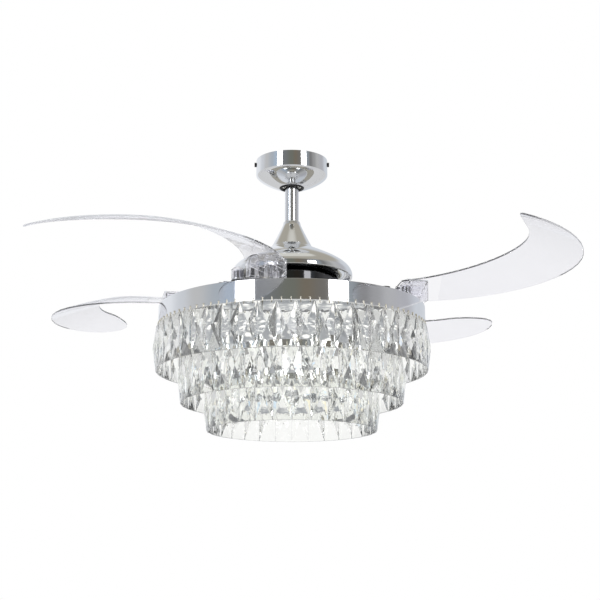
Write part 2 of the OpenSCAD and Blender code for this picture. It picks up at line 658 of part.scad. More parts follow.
module blade_screws(n) color(dark) at_blade_pivot(n) {
    translate([boss_at[0], boss_at[1], arm_top]) {
        translate([0, 0, -arm_plate_t]) cylinder(r = 1.9, h = arm_plate_t);
        cylinder(r = boss_r - 3.6, h = 13);
    }
    translate([screw_at[0], screw_at[1], 0]) {
        translate([0, 0, arm_top - arm_plate_t]) cylinder(r = 1.9, h = screw_top - arm_top + arm_plate_t);
        translate([0, 0, screw_top]) difference() {
            cylinder(r = 4, h = 3);
            translate([0, 0, 1.2]) cylinder(r = 2, h = 3, $fn = 6);
        }
    }
}
// A flat bar from a to b, ending round at b
module bar(a, b, half_a, half_b) {
    side = [a[1] - b[1], b[0] - a[0]] / norm(b - a);
    polygon([a + half_a * side, a - half_a * side, b - half_b * side, b + half_b * side]);
    translate(b) circle(r = half_b);
}
module blade_arm(n) color([0.75, 0.76, 0.78]) at_pivot(n) difference() {
    union() {
        translate([0, 0, gear_lift]) linear_extrude(height = gear_t) rotate(180)
            gear_plan(arm_teeth, [arm_pitch_r - 1.25 * module_size, arm_pitch_r * cos(pressure),
                arm_pitch_r, arm_pitch_r + module_size]);
        rotate([0, 0, swing]) translate([0, 0, gear_lift + gear_t])
            linear_extrude(height = arm_top - gear_lift - gear_t) {
                circle(r = 15);
                bar([0, 0], boss_at, 13, boss_r);
                bar([0, 0], screw_at, 11, 9);
                bar(boss_at, screw_at, 8, 8);
            }
        translate([0, 0, hub_foot]) cylinder(r = hub_out_r, h = hub_top - hub_foot);
    }
    translate([0, 0, -1]) cylinder(r = post_r + bush_t + fit, h = 30);
    rotate([0, 0, swing]) for (s = [boss_at, screw_at]) translate([s[0], s[1], 0]) cylinder(r = 1.95, h = 20);
}
module blade_1() blade(0);
module blade_2() blade(1);
module blade_3() blade(2);
module blade_4() blade(3);
module blade_arm_1() blade_arm(0);
module blade_arm_2() blade_arm(1);
module blade_arm_3() blade_arm(2);
module blade_arm_4() blade_arm(3);
module blade_screws_1() blade_screws(0);
module blade_screws_2() blade_screws(1);
module blade_screws_3() blade_screws(2);
module blade_screws_4() blade_screws(3);

// ---------- light ----------
ring_in_r = ring_r - ring_wall;
plate_top_h = -1.5;
light_plate_t = 2;
plate_foot_h = plate_top_h - light_plate_t;
hoop_h = 12;
hoop_t = 1.5;
rod_wire_r = 2.5;
prism_w = prism_pitch - prism_gap;

module chrome_ring() color(chrome) on_deck() rotate_extrude($fn = 128) polygon([
    [ring_r, 0], [ring_r, -ring_depth], [ring_r - 7, -ring_depth], [ring_r - 7, 1.5 - ring_depth],
    [ring_in_r, 1.5 - ring_depth], [ring_in_r, plate_top_h], [ring_r - 9, plate_top_h], [ring_r - 9, 0]]);
module light_plate() color(chrome) on_deck() difference() {
    union() {
        translate([0, 0, plate_foot_h]) cylinder(r = ring_in_r - 0.3, h = light_plate_t, $fn = 128);
        translate([0, 0, plate_foot_h]) cylinder(r = shaft_r + 6, h = plate_h - plate_t - 0.7 - plate_foot_h);
    }
    translate([0, 0, plate_foot_h - 1]) cylinder(r = shaft_r + 0.01, h = 12);
    around(6, ring_r - 6, 30) translate([0, 0, plate_foot_h - 1]) cylinder(r = 1.6, h = 5);
}
module ring_screws() color(steel) on_deck() around(6, ring_r - 6, 30) {
    translate([0, 0, plate_foot_h]) cylinder(r = 1.5, h = light_plate_t);
    translate([0, 0, plate_foot_h - 1.6]) cylinder(r = 3, h = 1.6);
}
module shaft_nut() color(steel) on_deck() translate([0, 0, plate_foot_h - 7]) difference() {
    cylinder(r = 17, h = 7, $fn = 6);
    translate([0, 0, -1]) cylinder(r = shaft_r + 0.01, h = 9);
}
led_board_t = 1.6;
led_in_r = 66;
led_out_r = diffuser_r - 6;
driver_l = 70;
driver_w = 34;
driver_t = 22;
diffuser_foot_h = -40;
diffuser_t = 2.4;
module led_board() color("white") on_deck() translate([0, 0, plate_foot_h - led_board_t])
    tube(led_out_r, led_in_r, led_board_t);
module led_chips() color([0.95, 0.85, 0.4]) on_deck() for (ring = [0 : 2])
    around(24, led_in_r + 14 + 20 * ring, 7.5 * (ring % 2))
        translate([-1.75, -1.4, plate_foot_h - led_board_t - 0.8]) cube([3.5, 2.8, 0.8]);
module led_driver() color("white") on_deck() translate([0, driver_w / 2 + 20, plate_foot_h - driver_t])
    linear_extrude(height = driver_t) rounded_plan(driver_l, driver_w, 4);
function diffuser_line(in) = concat(
    [[diffuser_r - in, plate_foot_h]],
    curve([diffuser_r - in, diffuser_foot_h + 12], [diffuser_r - in, diffuser_foot_h + 4 + in / 2],
        [diffuser_r - 4 - in / 2, diffuser_foot_h + in], [diffuser_r - 14, diffuser_foot_h + in], 6),
    [[0, diffuser_foot_h + in]]);
module diffuser() color([0.97, 0.97, 0.95]) on_deck() rotate_extrude($fn = 96)
    polygon(concat(diffuser_line(0), reversed(diffuser_line(diffuser_t))));
module hoop(r, drop) color(chrome) on_deck() translate([0, 0, -drop]) tube(r, r - hoop_t, hoop_h);
module hoop_2() hoop(hoop2_r, tier2_drop);
module hoop_3() hoop(hoop3_r, tier3_drop);
module hoop_rods() color(chrome) on_deck() {
    around(6, hoop2_r - hoop_t - rod_wire_r - 0.05, 15) translate([0, 0, -tier2_drop])
        cylinder(r = rod_wire_r, h = tier2_drop + plate_foot_h);
    around(6, hoop3_r - hoop_t - rod_wire_r - 0.05, 45) translate([0, 0, -tier3_drop])
        cylinder(r = rod_wire_r, h = tier3_drop + plate_foot_h);
}
// Every tier: [radius of what carries it, drop of the prisms' tops, turn of its first prism]
tiers = [[ring_r, ring_depth + tier1_gap, tier1_turn], [hoop2_r, tier2_drop, tier2_turn],
    [hoop3_r, tier3_drop, 0]];
function prism_r(t) = tiers[t][0] + prism_edge_t / 2 + 0.1;
function prism_count(t) = round(2 * PI * prism_r(t) / prism_pitch);
hook_grip = 5;
function hook_rise(t) = t == 0 ? tier1_gap + hook_grip : hoop_h / 2;
module crystal_hooks() color(chrome) on_deck() for (t = [0 : 2], i = [0 : prism_count(t) - 1], s = [-1, 1])
    rotate([0, 0, tiers[t][2] + (i + s / 4) * 360 / prism_count(t)])
        translate([tiers[t][0] + hook_r + 0.05, 0, -tiers[t][1]])
            cylinder(r = hook_r, h = hook_rise(t), $fn = 16);
// One prism: a flat block whose front and back each rise in four facets to a point
module prism() {
    w = prism_w / 2;
    e = prism_edge_t / 2;
    m = prism_mid_t / 2;
    polyhedron(
        [[-e, -w, 0], [-e, w, 0], [-e, w, -prism_l], [-e, -w, -prism_l],
         [e, -w, 0], [e, w, 0], [e, w, -prism_l], [e, -w, -prism_l],
         [-m, 0, -prism_l / 2], [m, 0, -prism_l / 2]],
        [[8, 1, 0], [8, 2, 1], [8, 3, 2], [8, 0, 3], [9, 4, 5], [9, 5, 6], [9, 6, 7], [9, 7, 4],
         [0, 5, 4], [0, 1, 5], [1, 6, 5], [1, 2, 6], [2, 7, 6], [2, 3, 7], [3, 4, 7], [3, 0, 4]]);
}
module tier(t) color(crystal) on_deck() for (i = [0 : prism_count(t) - 1])
    rotate([0, 0, tiers[t][2] + i * 360 / prism_count(t)]) translate([prism_r(t), 0, -tiers[t][1]]) prism();
module crystals_1() tier(0);
module crystals_2() tier(1);
module crystals_3() tier(2);

hanger_bracket();
canopy();
canopy_screws();
canopy_grommet();
receiver();
terminal_block();
hanger_ball();
ball_pin();
downrod();
coupling_cover();
yoke();
yoke_pin();
pin_clip();
motor_dome();
dome_screws();
motor_shaft();
bearing_inner_races();
bearing_balls();
stator_core();
stator_windings();
light_plate();
shaft_nut();
chrome_ring();
ring_screws();
led_board();
led_chips();
led_driver();
diffuser();
hoop_2();
hoop_3();
hoop_rods();
crystal_hooks();
crystals_1();
crystals_2();
crystals_3();
rotor_can();
magnets();
rotor_plate();
plate_screws();
bearing_outer_races();
gear_retainer();
pivot_posts();
pivot_bushes();
post_caps();
stop_posts();
return_springs();
sync_gear();
blade_1();
blade_2();
blade_3();
blade_4();
blade_arm_1();
blade_arm_2();
blade_arm_3();
blade_arm_4();
blade_screws_1();
blade_screws_2();
blade_screws_3();
blade_screws_4();
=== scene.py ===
# A ceiling fan whose clear blades swing out of a chrome ring, over three tiers of cut crystal.
# Everything is in metres, +Z up, with the origin on the ceiling at the fan's axis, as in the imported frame.
import json
import math

import bmesh
import bpy
import numpy as np
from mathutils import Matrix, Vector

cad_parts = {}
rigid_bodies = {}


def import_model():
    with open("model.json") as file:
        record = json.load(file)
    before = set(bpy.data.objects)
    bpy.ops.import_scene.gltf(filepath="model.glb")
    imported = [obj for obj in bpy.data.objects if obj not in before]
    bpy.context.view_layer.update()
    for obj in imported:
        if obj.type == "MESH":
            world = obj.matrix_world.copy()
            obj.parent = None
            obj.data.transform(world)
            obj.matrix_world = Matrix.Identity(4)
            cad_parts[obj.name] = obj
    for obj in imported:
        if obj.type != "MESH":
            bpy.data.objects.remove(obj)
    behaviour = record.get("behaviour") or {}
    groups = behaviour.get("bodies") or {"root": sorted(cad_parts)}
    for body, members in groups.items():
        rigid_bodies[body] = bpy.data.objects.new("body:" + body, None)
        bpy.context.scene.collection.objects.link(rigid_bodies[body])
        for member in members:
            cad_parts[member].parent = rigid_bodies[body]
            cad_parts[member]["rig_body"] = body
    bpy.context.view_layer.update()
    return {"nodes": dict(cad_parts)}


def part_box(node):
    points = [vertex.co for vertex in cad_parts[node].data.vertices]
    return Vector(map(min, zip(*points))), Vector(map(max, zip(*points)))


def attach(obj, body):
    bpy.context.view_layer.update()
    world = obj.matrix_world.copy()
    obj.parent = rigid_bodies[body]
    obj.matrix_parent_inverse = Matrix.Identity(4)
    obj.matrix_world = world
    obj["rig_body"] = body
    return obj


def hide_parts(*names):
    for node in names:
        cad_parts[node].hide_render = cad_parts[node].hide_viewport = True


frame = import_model()
nodes = frame["nodes"]

# ---------------------------------------------------------------------------------------------------------
# Camera. It stands 2.5 m from the fan and 0.87 m below the ceiling, and looks up, so the top edge of the
# chrome ring is seen from below and the ceiling not at all.
camera_away = 2.4964
camera_drop = 0.8663
camera_pitch = 13.178
camera_lens = 79.815
sensor_width = 36
fan_axis_px = 291.8
picture_px = 600

camera = bpy.data.objects.new("camera", bpy.data.cameras.new("camera"))
bpy.context.scene.collection.objects.link(camera)
camera.location = (0, -camera_away, -camera_drop)
camera.rotation_euler = (math.radians(90 + camera_pitch), 0, 0)
camera.data.lens = camera_lens
camera.data.sensor_width = sensor_width
camera.data.shift_x = (picture_px / 2 - fan_axis_px) / picture_px
bpy.context.scene.camera = camera
bpy.context.scene.view_settings.view_transform = "Standard"

# ---------------------------------------------------------------------------------------------------------
# Studio. A white room with two tall softboxes either side of the camera. The end of the room behind the
# camera is darker, which is what gives polished metal and cut crystal their dark bands.
floor_drop = 2.6
floor_span = 30.0
floor_pale = 0.9
floor_own_light = 0.25
softbox_away = 3.3
softbox_side = 38.0
softbox_size = (0.95, 1.35)
softbox_middle = 0.575
softbox_power = 17.4


class Value:
    """A shader value that takes part in plain sums."""

    def __init__(self, tree, node, output=0):
        self.tree, self.node = tree, node
        self.link = node.outputs[output] if node.outputs else None

    def part(self, output):
        return Value(self.tree, self.node, output)

    def sum(self, operation, a, b=0.0):
        return self.tree.node("ShaderNodeMath", {"operation": operation}, {0: a, 1: b})

    def __add__(self, other):
        return self.sum("ADD", self, other)

    __radd__ = __add__

    def __sub__(self, other):
        return self.sum("SUBTRACT", self, other)

    def __rsub__(self, other):
        return self.sum("SUBTRACT", other, self)

    def __mul__(self, other):
        return self.sum("MULTIPLY", self, other)

    __rmul__ = __mul__

    def __abs__(self):
        return self.sum("ABSOLUTE", self)

    def __gt__(self, other):
        return self.sum("GREATER_THAN", self, other)

    def __lt__(self, other):
        return self.sum("LESS_THAN", self, other)


class Tree:
    """The nodes of a material or of the world, written one after another."""

    def __init__(self, owner):
        owner.use_nodes = True
        self.owner = owner
        self.nodes = owner.node_tree.nodes
        self.links = owner.node_tree.links
        self.nodes.clear()

    def node(self, kind, settings=None, inputs=None):
        made = self.nodes.new(kind)
        for name, value in (settings or {}).items():
            setattr(made, name, value)
        for name, value in (inputs or {}).items():
            if isinstance(value, Value):
                self.links.new(value.link, made.inputs[name])
            else:
                made.inputs[name].default_value = value
        return Value(self, made)

    def blend(self, mask, a, b):
        """Colour a where the mask is 0 and colour b where it is 1."""
        a, b = (c if isinstance(c, Value) else (*c, 1) for c in (a, b))
        return self.node("ShaderNodeMix", {"data_type": "RGBA"}, {0: mask, 6: a, 7: b}).part(2)

    def ramp(self, value, low, high):
        """0 up to low and 1 from high on, with a soft step between."""
        settings = {"interpolation_type": "SMOOTHSTEP"}
        return self.node("ShaderNodeMapRange", settings, {0: value, 1: low, 2: high})

    def along(self, value, stops):
        """A colour that goes from stop to stop as the value grows."""
        colour = stops[0][1]
        for (low, _), (high, after) in zip(stops, stops[1:]):
            colour = self.blend(self.ramp(value, low, high), colour, after)
        return colour


studio_white = (1.0, 1.0, 1.0)
# What stands round the fan, by the angle from the camera's side of it: left of the camera is negative.
walls = [
    (-130, (0.84, 0.86, 0.90)),
    (-108, (0.66, 0.68, 0.72)),
    (-88, (0.56, 0.56, 0.565)),
    (-64, (0.44, 0.48, 0.53)),
    (-54, (0.43, 0.51, 0.61)),
    (-26, (0.19, 0.20, 0.21)),
    (0, (0.17, 0.175, 0.15)),
    (12, (0.19, 0.165, 0.13)),
    (26, (0.18, 0.17, 0.155)),
    (51, (0.30, 0.33, 0.36)),
    (62, (0.22, 0.22, 0.22)),
    (75, (0.35, 0.35, 0.35)),
    (90, (0.50, 0.50, 0.50)),
    (112, (0.48, 0.48, 0.51)),
    (134, (0.66, 0.69, 0.74)),
]
# Beyond the backdrop the studio is cluttered: dark gaps between things that are lit warm or cool.
clutter_dark = (0.03, 0.033, 0.03)
clutter_lit = [(0.40, (0.82, 0.97, 1.15)), (0.50, (1.15, 1.15, 1.12)), (0.60, (1.15, 1.07, 0.86))]
overhead = (0.70, 0.69, 0.64)
upper_wall = (0.43, 0.405, 0.35)
floor_glow = (0.80, 0.80, 0.81)
fill_light = (0.62, 0.62, 0.63)
beside_wall = (0.86, 0.86, 0.87)
# Where one part of the room gives way to the next, by how steeply the line of sight rises: 1 is straight up.
wall_top = (0.55, 0.75)
ceiling_start = (0.90, 0.95)
floor_start = (0.05, 0.30)
backdrop_foot = (-0.22, -0.14)
backdrop_head = (0.58, 0.66)
# The same, by the angle from the camera's side in degrees.
beside_start = (50, 80)
clutter_start = (96, 104)
backdrop_start = (138, 143)
# The clutter's grain, and how much of it is gaps.
clutter_squash = (1, 1, 0.45)
clutter_grain = 6.5
hue_grain = 11.0
gap_share = (0.42, 0.47)
# The upright ring sends every line of sight off at the slope at which it came, so what it mirrors through a
# blade lies close to this slope. Light that leaves a crystal mostly doesn't.
ring_glance = 0.236
glance_spread = (0.025, 0.05)

room = Tree(bpy.data.worlds.new("studio"))
bpy.context.scene.world = room.owner
ray = room.node("ShaderNodeLightPath")
direction = room.node("ShaderNodeTexCoord").part("Generated")
heading = room.node("ShaderNodeSeparateXYZ", {}, {0: direction})
height = heading.part("Z")
sideways = room.node("ShaderNodeMath", {"operation": "ARCTAN2"}, {0: heading, 1: heading.part("Y") * -1})
sideways = sideways * (180 / math.pi)
off_centre = abs(sideways)
upper = room.blend(room.ramp(height, *ceiling_start), upper_wall, overhead)
wall = room.blend(room.ramp(height, *wall_top), room.along(sideways, walls), upper)
wall = room.blend(room.ramp(height * -1, *floor_start), wall, floor_glow)
upright = room.node("ShaderNodeVectorMath", {"operation": "MULTIPLY"}, {0: direction, 1: clutter_squash})
gaps = room.node("ShaderNodeTexNoise", {}, {"Vector": upright, "Scale": clutter_grain, "Detail": 3.0})
hues = room.node("ShaderNodeTexNoise", {}, {"Vector": direction, "Scale": hue_grain, "Detail": 1.0})
clutter = room.blend(room.ramp(gaps, *gap_share), clutter_dark, room.along(hues, clutter_lit))
beside = room.blend(room.ramp(off_centre, *beside_start), wall, beside_wall)
beyond = room.blend(room.ramp(off_centre, *clutter_start), beside, clutter)
backdrop = room.ramp(off_centre, *backdrop_start) * room.ramp(height, *backdrop_foot)
backdrop = backdrop * (1 - room.ramp(height, *backdrop_head))
through = room.blend(backdrop, beyond, studio_white)
off_glance = abs(height - ring_glance)
mirrored_wall = room.blend(room.ramp(off_glance, *glance_spread), wall, beside)
past_one_sheet = ray.part("Transmission Depth") < 2.5
mirrored = ray.part("Glossy Depth") > 0.5
through = room.blend(past_one_sheet, through, room.blend(mirrored, studio_white, mirrored_wall))
lit = room.blend(ray.part("Is Diffuse Ray"), wall, fill_light)
lit = room.blend(ray.part("Is Transmission Ray"), lit, through)
lit = room.blend(ray.part("Is Camera Ray"), lit, studio_white)
sky = room.node("ShaderNodeBackground", {}, {"Color": lit})
room.node("ShaderNodeOutputWorld", {}, {"Surface": sky})

for side in (-1, 1):
    softbox = bpy.data.objects.new(f"softbox_{side}", bpy.data.lights.new(f"softbox_{side}", "AREA"))
    bpy.context.scene.collection.objects.link(softbox)
    turn = math.radians(side * softbox_side)
    softbox.location = (softbox_away * math.sin(turn), -softbox_away * math.cos(turn), softbox_middle)
    softbox.rotation_euler = (math.radians(90), 0, turn)
    softbox.data.shape = "RECTANGLE"
    softbox.data.size, softbox.data.size_y = softbox_size
    softbox.data.energy = softbox_power
    softbox.visible_camera = False

floor_mesh = bpy.data.meshes.new("studio_floor")
half = floor_span / 2
floor_mesh.from_pydata(
    [(x * half, y * half, -floor_drop) for x, y in ((-1, -1), (1, -1), (1, 1), (-1, 1))],
    [],
    [(0, 1, 2, 3)],
)
floor = bpy.data.objects.new("studio_floor", floor_mesh)
bpy.context.scene.collection.objects.link(floor)
pale = Tree(bpy.data.materials.new("studio_floor"))
matt = pale.node("ShaderNodeBsdfDiffuse", {}, {"Color": (floor_pale, floor_pale, floor_pale, 1)})
glow = pale.node("ShaderNodeEmission", {}, {"Color": (1, 1, 1, 1), "Strength": 1.0})
seen = pale.node("ShaderNodeLightPath")
clean = floor_own_light + (1 - floor_own_light) * seen.part("Is Camera Ray")
pale.node(
    "ShaderNodeOutputMaterial",
    {},
    {"Surface": pale.node("ShaderNodeMixShader", {}, {0: clean, 1: matt, 2: glow})},
)
floor_mesh.materials.append(pale.owner)

# Light has to be followed through many faces of crystal before it leaves the fan.
cycles = bpy.context.scene.cycles
cycles.max_bounces = 24
cycles.transmission_bounces = 20
cycles.transparent_max_bounces = 16
cycles.glossy_bounces = 8

# ---------------------------------------------------------------------------------------------------------
# Hanger bracket and canopy. The bracket is zinc-plated strip, folded and screwed to the ceiling; the canopy
# is a spun steel cup, plated bright, pushed up over it and held by two dark screws in its sides.
canopy_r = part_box("canopy")[1].x
canopy_depth = -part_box("canopy")[0].z
canopy_side = 0.030
canopy_side_pull = 0.008
canopy_floor_r = 0.025
canopy_floor_pull = 0.010
canopy_wall = 0.0015
canopy_hole_r = 0.022
ceiling_gap = 0.001
grommet_lip = 0.0035
grommet_round = 0.003
grommet_over = 0.002
grommet_mouth = 0.3


def dress(materials):
    """Each named node of the frame in its own material."""
    for name, material in materials.items():
        nodes[name].data.materials.clear()
        nodes[name].data.materials.append(material)


def takes_over(piece, *stands_for):
    """The piece rides with the nodes of the frame that it stands for, which are hidden."""
    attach(piece, nodes[stands_for[0]]["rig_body"])
    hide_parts(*stands_for)


def curve(a, b, c, d, steps=20):
    """Points on the curve from a to d that leaves towards b and arrives from c."""
    a, b, c, d = map(np.array, (a, b, c, d))
    t = np.linspace(0, 1, steps + 1)[:, None]
    s = 1 - t
    return [tuple(p) for p in s**3 * a + 3 * s * s * t * b + 3 * s * t * t * c + t**3 * d]


def placed(name, corners, faces, material, crease=35):
    """A mesh object at the origin, smooth except over edges sharper than the crease."""
    mesh = bpy.data.meshes.new(name)
    mesh.from_pydata([tuple(map(float, p)) for p in corners], [], faces)
    mesh.materials.append(material)
    mesh.shade_smooth()
    mesh.set_sharp_from_angle(angle=math.radians(crease))
    piece = bpy.data.objects.new(name, mesh)
    bpy.context.scene.collection.objects.link(piece)
    return piece


def spun(name, outline, material, facets=160, crease=35):
    """A closed outline of (radius, height) points, spun round the fan's axis."""
    outline = np.array(outline, float)
    r, z = outline.T
    if np.sum(r * np.roll(z, -1) - np.roll(r, -1) * z) < 0:
        r, z = r[::-1], z[::-1]
    count = len(r)
    turn = 2 * np.pi * np.arange(facets) / facets
    corners = np.stack(
        [np.outer(np.cos(turn), r), np.outer(np.sin(turn), r), np.tile(z, (facets, 1))], -1
    )
    faces = [
        (i * count + k, j * count + k, j * count + n, i * count + n)
        for i, j in ((i, (i + 1) % facets) for i in range(facets))
        for k, n in ((k, (k + 1) % count) for k in range(count))
    ]
    return placed(name, corners.reshape(-1, 3), faces, material, crease)


def eased(piece, width, segments=2, limit=40, rim_slot=-1):
    """The piece with its sharp edges rounded, so that they catch the light."""
    bevel = piece.modifiers.new("eased", "BEVEL")
    bevel.width, bevel.segments = width, segments
    bevel.limit_method, bevel.angle_limit = "ANGLE", math.radians(limit)
    bevel.harden_normals = True
    bevel.material = rim_slot
    bpy.context.view_layer.update()
    evaluated = piece.evaluated_get(bpy.context.evaluated_depsgraph_get())
    piece.data = bpy.data.meshes.new_from_object(evaluated)
    piece.modifiers.clear()
    return piece


def metal(name, colour, roughness, film=0.03, film_size=0.05, dents=0.0, metallic=1.0, coat=0.0):
    """Metal under a thin uneven film: its roughness and colour wander a little over the surface."""
    paint = Tree(bpy.data.materials.new(name))
    place = paint.node("ShaderNodeTexCoord").part("Object")
    noise = {"Vector": place, "Scale": 1 / film_size, "Detail": 4.0, "Roughness": 0.6}
    cloud = paint.node("ShaderNodeTexNoise", {}, noise)
    shade = paint.blend(cloud, [0.94 * c for c in colour], [min(1, 1.04 * c) for c in colour])
    inputs = {
        "Base Color": shade,
        "Metallic": metallic,
        "Roughness": roughness - film / 2 + film * cloud,
        "Coat Weight": coat,
    }
    if dents:
        swell = paint.node("ShaderNodeTexNoise", {}, {"Vector": place, "Scale": 14.0, "Detail": 1.0})
        bump = {"Height": swell, "Distance": dents, "Strength": 1.0}
        inputs["Normal"] = paint.node("ShaderNodeBump", {}, bump)
    skin = paint.node("ShaderNodeBsdfPrincipled", {}, inputs)
    paint.node("ShaderNodeOutputMaterial", {}, {"Surface": skin})
    return paint.owner


chrome = metal("polished_chrome", (0.86, 0.87, 0.88), 0.055, film=0.03, dents=0.00003)
zinc = metal("zinc_plate", (0.62, 0.63, 0.65), 0.34, film=0.16, film_size=0.01)
black_steel = metal("black_steel", (0.035, 0.035, 0.038), 0.32, film=0.12, metallic=0.2, coat=0.25)


def moulded(name, colour, roughness, grain=0.0002, speckle=0.05, coat=0.0):
    """Moulded plastic or rubber: a faint grain, with small changes of tone."""
    paint = Tree(bpy.data.materials.new(name))
    place = paint.node("ShaderNodeTexCoord").part("Object")
    fine = paint.node("ShaderNodeTexNoise", {}, {"Vector": place, "Scale": 900.0, "Detail": 2.0})
    broad = paint.node("ShaderNodeTexNoise", {}, {"Vector": place, "Scale": 22.0, "Detail": 3.0})
    shade = paint.blend(
        broad, [(1 - speckle) * c for c in colour], [min(1, (1 + speckle) * c) for c in colour]
    )
    skin = paint.node(
        "ShaderNodeBsdfPrincipled",
        {},
        {
            "Base Color": shade,
            "Roughness": roughness - 0.04 + 0.08 * broad,
            "Coat Weight": coat,
            "Normal": paint.node("ShaderNodeBump", {}, {"Height": fine, "Distance": grain, "Strength": 0.5}),
        },
    )
    paint.node("ShaderNodeOutputMaterial", {}, {"Surface": skin})
    return paint.owner


rubber = moulded("black_rubber", (0.02, 0.02, 0.022), 0.55, grain=0.0003)
white_plastic = moulded("white_plastic", (0.82, 0.82, 0.80), 0.42, coat=0.1)


def cup_line(inset):
    """The canopy's side and rounded foot, the inset inside its skin."""
    reach, depth = canopy_r - inset, -canopy_depth + inset
    return [(reach, -ceiling_gap)] + curve(
        (reach, -canopy_side), (reach, -canopy_side - canopy_side_pull),
        (canopy_floor_r + canopy_floor_pull, depth + 0.001), (canopy_floor_r, depth), steps=28,
    ) + [(canopy_hole_r, depth)]


canopy = spun("canopy_cup", cup_line(0) + cup_line(canopy_wall)[::-1], chrome)
takes_over(eased(canopy, width=0.0004), "canopy")

grommet_inner = canopy_hole_r - grommet_lip
grommet_half = canopy_wall / 2 + grommet_over
grommet_at = -canopy_depth + canopy_wall / 2
lip = [
    (grommet_inner + grommet_round + grommet_round * math.cos(a), grommet_at + grommet_half * math.sin(a))
    for a in np.linspace(grommet_mouth, 2 * math.pi - grommet_mouth, 24)
]
waist = [(canopy_hole_r, grommet_at - canopy_wall / 2), (canopy_hole_r, grommet_at + canopy_wall / 2)]
takes_over(spun("canopy_grommet_ring", lip + waist, rubber, facets=96), "canopy_grommet")

dress({
    "hanger_bracket": zinc,
    "canopy_screws": black_steel,
    "receiver": white_plastic,
    "terminal_block": white_plastic,
})

# ---------------------------------------------------------------------------------------------------------
# Ball, downrod and cross pins. The ball is black nylon and sits in the bracket's cradle; the rod is plated
# three-quarter inch pipe, pinned through the ball above and through the motor's yoke below.
rod_r = 0.01335
rod_wall = 0.002
rod_low, rod_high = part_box("downrod")[0].z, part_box("downrod")[1].z

nylon = moulded("black_nylon", (0.03, 0.03, 0.033), 0.3, coat=0.2)
drawn_chrome = metal("drawn_chrome", (0.80, 0.81, 0.83), 0.24, film=0.04)
rod_line = [
    (rod_r, rod_low), (rod_r, rod_high), (rod_r - rod_wall, rod_high), (rod_r - rod_wall, rod_low)
]
takes_over(eased(spun("downrod_pipe", rod_line, drawn_chrome, facets=96), width=0.0004), "downrod")
dress({"hanger_ball": nylon, "ball_pin": zinc, "yoke_pin": zinc, "pin_clip": zinc})

# ---------------------------------------------------------------------------------------------------------
# Coupling cover and motor dome. Both are spun steel, polished and plated: a bell-shaped cover slides down
# the rod over the yoke, and the shallow dome under it hangs from the yoke by three screws.
cover_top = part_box("coupling_cover")[1].z
dome_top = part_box("coupling_cover")[0].z
cover_foot_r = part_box("coupling_cover")[1].x
dome_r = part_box("motor_dome")[1].x
dome_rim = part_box("motor_dome")[0].z
sheet = 0.0014
yoke_r = 0.019
fit_gap = 0.0004
dome_curl = 0.005

# The cover's rolled top edge, and then its flank, which widens evenly down to the dome.
cover_outside = curve(
    (rod_r + fit_gap, cover_top - 0.0004), (rod_r + 0.0016, cover_top + 0.0002),
    (rod_r + 0.0028, cover_top - 0.0002), (rod_r + 0.0034, cover_top - 0.004), steps=10,
) + curve(
    (rod_r + 0.0043, cover_top - 0.008), (rod_r + 0.0086, cover_top - 0.0175),
    (rod_r + 0.0125, cover_top - 0.0255), (cover_foot_r, dome_top), steps=24,
)
cover_inside = [
    (cover_foot_r - sheet, dome_top), (rod_r + 0.009, cover_top - 0.0225),
    (rod_r + 0.0024, cover_top - 0.005), (rod_r + fit_gap, cover_top - 0.003),
]
cover = spun("coupling_cover_bell", cover_outside + cover_inside, chrome)
takes_over(eased(cover, width=0.0003), "coupling_cover")


def dome_line(inset):
    """The dome's crown, its shoulder and its side down to the curled rim, the inset inside its skin."""
    reach = dome_r - inset
    crown = [
        (yoke_r + fit_gap, dome_top - inset), (cover_foot_r - inset / 2, dome_top - inset),
        (cover_foot_r + 0.002 - inset / 2, dome_top - 0.0026 - inset),
    ]
    side = curve(
        (cover_foot_r + 0.006, dome_top - 0.0055 - inset), (0.078, dome_top - 0.0215 - inset),
        (reach, dome_top - 0.0365), (reach, dome_rim + dome_curl), steps=48,
    )
    rim = curve(
        (reach, dome_rim + 0.003), (reach, dome_rim + inset),
        (reach, dome_rim + inset), (dome_r - dome_curl, dome_rim + inset), steps=6,
    )
    return crown + side + rim


dome = spun("motor_dome_shell", dome_line(0) + dome_line(sheet)[::-1], chrome, facets=192)
takes_over(eased(dome, width=0.0003), "motor_dome")
dress({"yoke": black_steel, "dome_screws": zinc})

# ---------------------------------------------------------------------------------------------------------
# Motor. An outrunner: laminated stator and copper coils fixed on the hollow shaft, a black can with magnets
# turning round them on two bearings. Only the can's rim shows, in the shadow under the dome.
ground_steel = metal("ground_steel", (0.70, 0.71, 0.73), 0.16, film=0.06, film_size=0.004)
enamelled_copper = metal("enamelled_copper", (0.62, 0.27, 0.10), 0.28, film=0.1, film_size=0.002, coat=0.6)
gloss_black = metal("gloss_black", (0.10, 0.10, 0.105), 0.08, film=0.03, dents=0.00002)
magnet_nickel = metal("magnet_nickel", (0.30, 0.30, 0.31), 0.25, film=0.1, film_size=0.006)

laminated = Tree(bpy.data.materials.new("laminated_steel"))
sheet_bands = laminated.node(
    "ShaderNodeTexWave",
    {"bands_direction": "Z"},
    {"Vector": laminated.node("ShaderNodeTexCoord").part("Object"), "Scale": 320.0, "Distortion": 0.4},
)
core_skin = laminated.node(
    "ShaderNodeBsdfPrincipled",
    {},
    {
        "Base Color": laminated.blend(sheet_bands, (0.10, 0.10, 0.11), (0.32, 0.32, 0.34)),
        "Metallic": 0.9,
        "Roughness": 0.35 + 0.2 * sheet_bands,
    },
)
laminated.node("ShaderNodeOutputMaterial", {}, {"Surface": core_skin})
dress({
    "motor_shaft": ground_steel,
    "bearing_inner_races": ground_steel,
    "bearing_outer_races": ground_steel,
    "bearing_balls": chrome,
    "stator_core": laminated.owner,
    "stator_windings": enamelled_copper,
    "rotor_can": gloss_black,
    "magnets": magnet_nickel,
})

